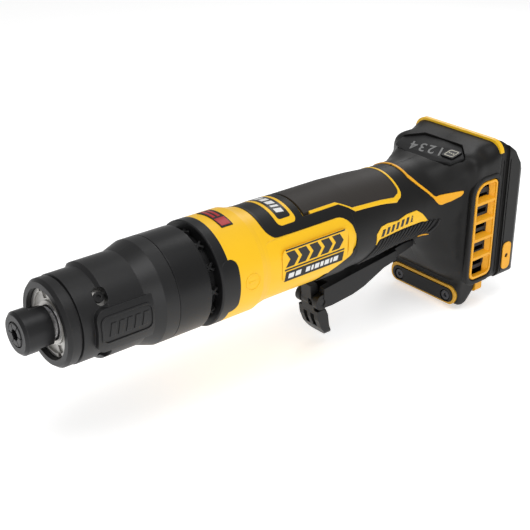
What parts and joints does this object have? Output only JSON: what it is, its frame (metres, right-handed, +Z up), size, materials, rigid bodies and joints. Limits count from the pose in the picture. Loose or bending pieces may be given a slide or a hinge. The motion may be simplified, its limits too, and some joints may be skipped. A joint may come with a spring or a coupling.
{
  "type": "cordless die grinder",
  "caption": "Cordless straight die grinder: collet nose in a rubber boot, round motor housing, grip with paddle switch and lock-off lever, slide-on battery foot.",
  "frame": {"origin": "mouth of the collet's bore, on the spindle axis", "axes": "+X along the spindle axis out of the nose, +Y to the tool's left, +Z up"},
  "size_m": [0.359, 0.0772, 0.1158],
  "materials": {
    "black_oxide_steel": "black oxide, satin",
    "collet_steel": "dark, satin",
    "bright_steel": "ground",
    "core_steel": "laminated",
    "cast_aluminium": "as cast",
    "boot_rubber": "matte",
    "grip_rubber": "satin",
    "palm_rubber": "fine grain",
    "black_plastic": "fine grain",
    "yellow_plastic": "satin",
    "amber_plastic": "satin",
    "bumper_grey": "matte",
    "bumper_gold": "matte",
    "copper": "enamelled wire",
    "board_green": "solder mask",
    "label_red": "printed",
    "button_grey": "satin",
    "contact_brass": "plain"
  },
  "bodies": {
    "housing": {"nose_plate": "cast_aluminium", "nose_housing": "cast_aluminium", "nose_screws": "black_oxide_steel", "front_bearing": "bright_steel", "rear_spindle_bearing": "bright_steel", "rubber_boot": "boot_rubber", "front_sleeve": "black_plastic", "vent_cage": "black_plastic", "front_ring": "black_plastic", "motor_housing": "yellow_plastic", "stator": "core_steel", "windings": "copper", "motor_bearing": "bright_steel", "bearing_bracket": "black_plastic", "hall_board": "board_green", "top_overmold": "grip_rubber", "top_badge": "yellow_plastic", "palm_panel": "palm_rubber", "palm_piping": "yellow_plastic", "small_label": "label_red", "side_labels": "black_plastic", "handle_left": "grip_rubber", "handle_right": "grip_rubber", "grip_left": "grip_rubber", "grip_right": "grip_rubber", "flags": "yellow_plastic", "rear_piping": "yellow_plastic", "switch_module": "black_plastic", "controller": "board_green", "foot_strip": "yellow_plastic", "vent_insert_left": "amber_plastic", "vent_insert_right": "amber_plastic", "vent_grilles": "black_plastic", "side_patches": "yellow_plastic", "bumper": "bumper_grey", "bumper_border": "bumper_gold", "bumper_screws": "black_oxide_steel", "shell_screws": "black_oxide_steel", "speed_panel": "black_plastic", "battery_plate": "grip_rubber", "terminal_block": "black_plastic", "terminals": "contact_brass", "lower_tabs": "yellow_plastic", "paddle_pin": "bright_steel", "paddle_spring": "bright_steel"},
    "spindle_group": {"collet": "collet_steel", "collet_nut": "black_oxide_steel", "spindle": "bright_steel", "coupler": "bright_steel", "motor_shaft": "bright_steel", "rotor_core": "core_steel", "rotor_magnets": "core_steel", "fan": "black_plastic"},
    "paddle_group": {"paddle": "black_plastic", "lock_pin": "bright_steel", "lock_spring": "bright_steel"},
    "lever_group": {"lock_lever": "black_plastic"},
    "button_group": {"speed_button": "button_grey"},
    "plunger_group": {"switch_plunger": "button_grey"}
  },
  "joints": [
    {"name": "spindle_spin", "type": "hinge", "parent": "housing", "child": "spindle_group", "pos_m": [0, 0, 0], "axis": [1, 0, 0], "continuous": true},
    {"name": "paddle_press", "type": "hinge", "parent": "housing", "child": "paddle_group", "pos_m": [-0.2845, 0, -0.023], "axis": [0, -1, 0], "range_deg": [0, 4], "stiffness_Nm_per_rad": 2, "springref_deg": -17.19},
    {"name": "lock_lever_turn", "type": "hinge", "parent": "paddle_group", "child": "lever_group", "pos_m": [-0.2045, 0, -0.0465], "axis": [0, 1, 0], "range_deg": [0, 18], "stiffness_Nm_per_rad": 0.2, "springref_deg": -17.19},
    {"name": "speed_button_press", "type": "slide", "parent": "housing", "child": "button_group", "axis": [-0.1908, 0, -0.9816], "range_m": [0, 0.0008], "stiffness_N_per_m": 800, "springref_m": -0.001},
    {"name": "switch_plunger_lift", "type": "slide", "parent": "housing", "child": "plunger_group", "axis": [0, 0, 1], "range_m": [0, 0.0034]}
  ],
  "couplings": [
    {"joint": "switch_plunger_lift", "follows": "paddle_press", "m_per_rad": 0.047}
  ]
}
